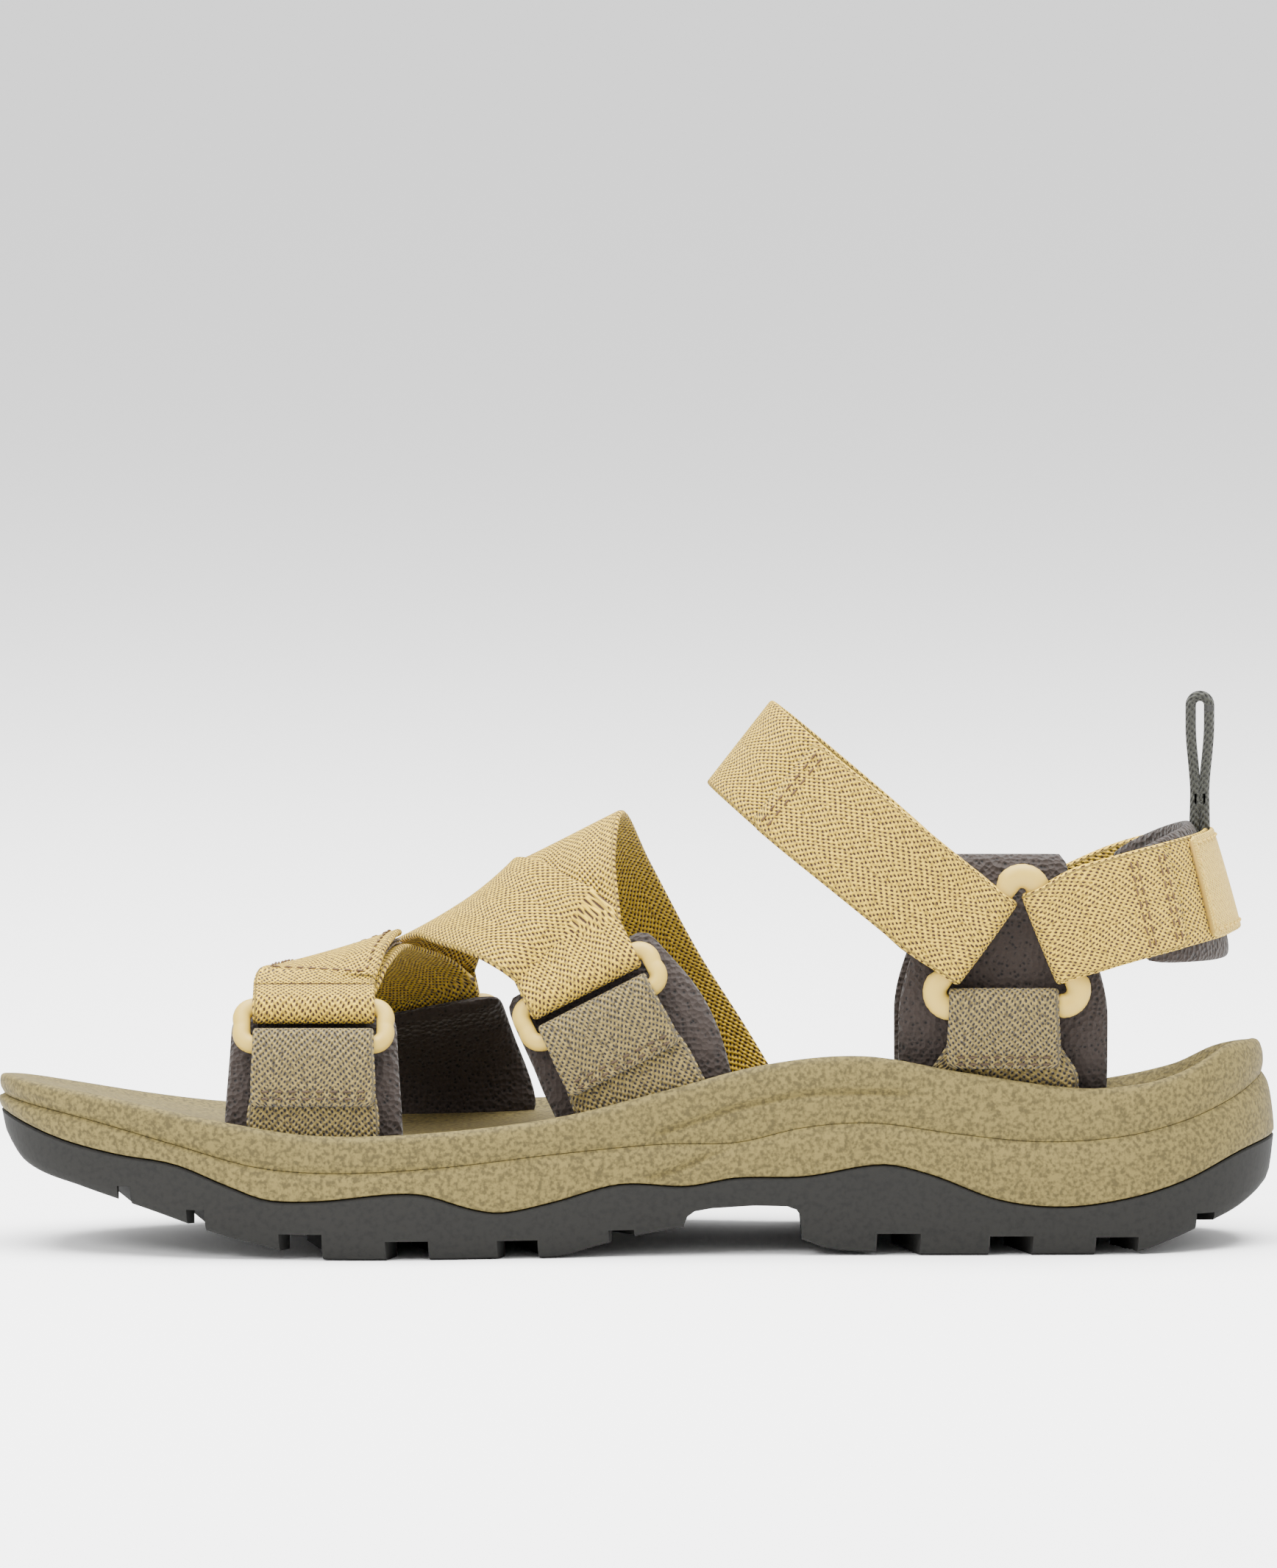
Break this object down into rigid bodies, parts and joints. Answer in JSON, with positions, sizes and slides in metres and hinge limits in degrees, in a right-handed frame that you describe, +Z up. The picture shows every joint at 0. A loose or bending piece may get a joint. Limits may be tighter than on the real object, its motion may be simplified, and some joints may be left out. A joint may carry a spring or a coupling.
{
  "type": "strappy sport sandal",
  "caption": "Open-toe sport sandal for a right foot: webbing straps through rings, peel-open closures, cushioned footbed and lugged rubber sole",
  "frame": {"origin": "middle of the sandal's bounding box in plan, on the ground plane the tread stands on", "axes": "+X from toe to heel, +Y from the medial (inner) side to the lateral (outer) side, +Z up"},
  "size_m": [0.2644, 0.0966, 0.1137],
  "materials": {
    "webbing": "tightly woven flat strap, matt, with small dark flecks",
    "tab_webbing": "flat woven tab, matt",
    "ring_plastic": "moulded, smooth, softly shiny",
    "lining": "knitted spacer mesh, matt",
    "closure_tape": "hook or loop pile, matt",
    "foam": "moulded foam, fine dark speckle, matt",
    "outsole_rubber": "moulded rubber, matt",
    "shank_plastic": "stiff moulded strip, plain",
    "cord": "braided cord"
  },
  "bodies": {
    "sandal": {"instep_strap": "webbing", "toe_strap": "webbing", "ankle_strap": "webbing", "heel_strap": "webbing", "medial_front_tab": "tab_webbing", "medial_mid_tab": "tab_webbing", "lateral_front_tab": "tab_webbing", "medial_ankle_tab": "tab_webbing", "lateral_ankle_tab": "tab_webbing", "medial_front_ring": "ring_plastic", "medial_mid_ring": "ring_plastic", "lateral_front_ring": "ring_plastic", "medial_ankle_ring": "ring_plastic", "lateral_ankle_ring": "ring_plastic", "medial_front_pad": "lining", "medial_mid_pad": "lining", "lateral_front_pad": "lining", "medial_ankle_pad": "lining", "lateral_ankle_pad": "lining", "heel_collar": "lining", "toe_loop_patch": "closure_tape", "ankle_loop_patch": "closure_tape", "heel_loop_patch": "closure_tape", "midsole": "foam", "footbed": "foam", "outsole": "outsole_rubber", "arch_shank": "shank_plastic"},
    "toe_closure": {"toe_flap": "webbing", "toe_hook_patch": "closure_tape"},
    "ankle_closure": {"ankle_flap": "webbing", "ankle_hook_patch": "closure_tape"},
    "heel_closure": {"heel_flap": "webbing", "heel_hook_patch": "closure_tape"},
    "heel_pull": {"pull_loop": "cord"}
  },
  "joints": [
    {"name": "toe_flap_peel", "type": "hinge", "parent": "sandal", "child": "toe_closure", "pos_m": [-0.0666, -0.0303, 0.05535], "axis": [1, 0, 0], "range_deg": [0, 110]},
    {"name": "ankle_flap_peel", "type": "hinge", "parent": "sandal", "child": "ankle_closure", "pos_m": [0.06489, 0.03358, 0.06406], "axis": [-0.5878, 0, -0.809], "range_deg": [0, 100]},
    {"name": "heel_flap_peel", "type": "hinge", "parent": "sandal", "child": "heel_closure", "pos_m": [0.08975, 0.03358, 0.06347], "axis": [-0.4067, 0, 0.9136], "range_deg": [0, 100]},
    {"name": "pull_loop_swing", "type": "hinge", "parent": "sandal", "child": "heel_pull", "pos_m": [0.1162, -0.0016, 0.0893], "axis": [0, 1, 0], "range_deg": [-35, 70], "stiffness_Nm_per_rad": 0.0008}
  ]
}
